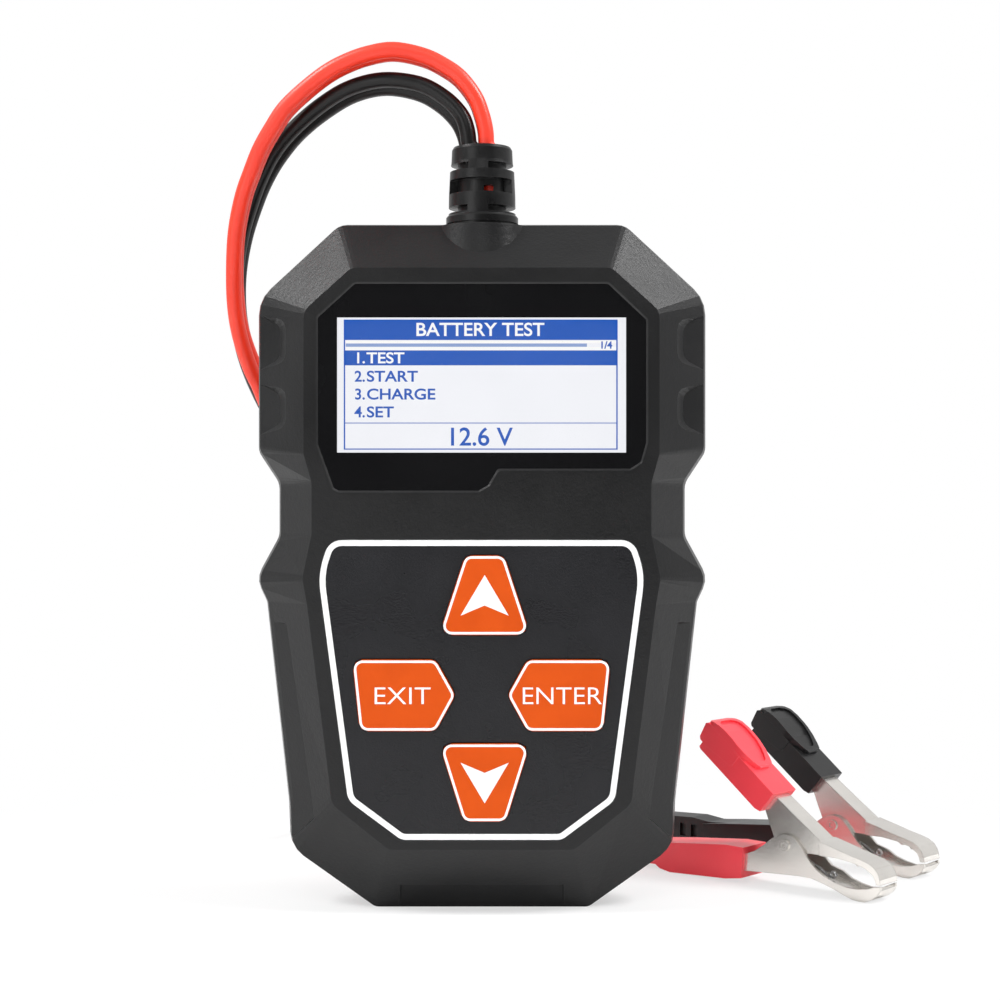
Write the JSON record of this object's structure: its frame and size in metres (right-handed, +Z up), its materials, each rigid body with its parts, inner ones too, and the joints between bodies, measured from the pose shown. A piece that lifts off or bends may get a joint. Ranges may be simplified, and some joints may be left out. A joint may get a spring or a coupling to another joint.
{
  "type": "battery tester",
  "caption": "Handheld 12 V battery tester: upright black shell, colour display, four keys, and twin leads with a red and a black spring clip",
  "frame": {"origin": "middle of the box round the tester without its leads and clips, at the ground it stands on", "axes": "+Z up, -Y out of the display and keypad, +X to the viewer's right"},
  "size_m": [0.1355, 0.113, 0.154],
  "materials": {
    "shell": "fine-grained matte moulded plastic",
    "steel": "zinc-plated screws, domes and spring wire",
    "window": "polished clear window over black print",
    "mask": "black print",
    "inner_frame": "moulded",
    "screen": "display glass",
    "backlight": "diffuser",
    "overlay": "textured film",
    "key": "satin orange",
    "board": "solder mask",
    "chip": "moulded",
    "ceramic": null,
    "capacitor": "can",
    "red_cable": "soft satin insulation",
    "black_cable": "soft satin insulation",
    "boot_rubber": "soft matte",
    "clip_metal": "nickel-plated steel",
    "red_boot": "satin soft vinyl",
    "black_boot": "satin soft vinyl"
  },
  "bodies": {
    "tester": {"front_shell": "shell", "rear_shell": "shell", "case_screws": "steel", "window_lens": "window", "window_mask": "mask", "lcd_frame": "inner_frame", "lcd_panel": "screen", "lcd_backlight": "backlight", "keypad_overlay": "overlay", "snap_domes": "steel", "pcb": "board", "pcb_screws": "steel", "mcu_chip": "chip", "measuring_chips": "chip", "load_resistor": "ceramic", "mosfets": "chip", "capacitors": "capacitor", "buzzer": "chip", "inner_wires_red": "red_cable", "inner_wires_black": "black_cable", "cord_boot": "boot_rubber", "cord_grip": "chip", "grip_screws": "steel", "red_lead": "red_cable", "black_lead": "black_cable", "red_lower_arm": "clip_metal", "red_rivet": "clip_metal", "red_spring": "steel", "red_lower_boot": "red_boot", "black_lower_arm": "clip_metal", "black_rivet": "clip_metal", "black_spring": "steel", "black_lower_boot": "black_boot"},
    "key_up_button": {"key_up": "key"},
    "key_down_button": {"key_down": "key"},
    "key_left_button": {"key_left": "key"},
    "key_right_button": {"key_right": "key"},
    "red_lever": {"red_upper_arm": "clip_metal", "red_upper_boot": "red_boot"},
    "black_lever": {"black_upper_arm": "clip_metal", "black_upper_boot": "black_boot"}
  },
  "joints": [
    {"name": "key_up_press", "type": "slide", "parent": "tester", "child": "key_up_button", "axis": [0, 1, 0], "range_m": [0, 0.0005], "stiffness_N_per_m": 600},
    {"name": "key_down_press", "type": "slide", "parent": "tester", "child": "key_down_button", "axis": [0, 1, 0], "range_m": [0, 0.0005], "stiffness_N_per_m": 600},
    {"name": "key_left_press", "type": "slide", "parent": "tester", "child": "key_left_button", "axis": [0, 1, 0], "range_m": [0, 0.0005], "stiffness_N_per_m": 600},
    {"name": "key_right_press", "type": "slide", "parent": "tester", "child": "key_right_button", "axis": [0, 1, 0], "range_m": [0, 0.0005], "stiffness_N_per_m": 600},
    {"name": "red_clip_hinge", "type": "hinge", "parent": "tester", "child": "red_lever", "pos_m": [0.05769, 0.01262, 0.0083], "axis": [-0.6561, -0.7547, 0], "range_deg": [0, 30], "stiffness_Nm_per_rad": 0.08, "deforming": ["red_spring"]},
    {"name": "black_clip_hinge", "type": "hinge", "parent": "tester", "child": "black_lever", "pos_m": [0.07029, 0.03412, 0.0083], "axis": [-0.6561, -0.7547, 0], "range_deg": [0, 30], "stiffness_Nm_per_rad": 0.08, "deforming": ["black_spring"]}
  ]
}
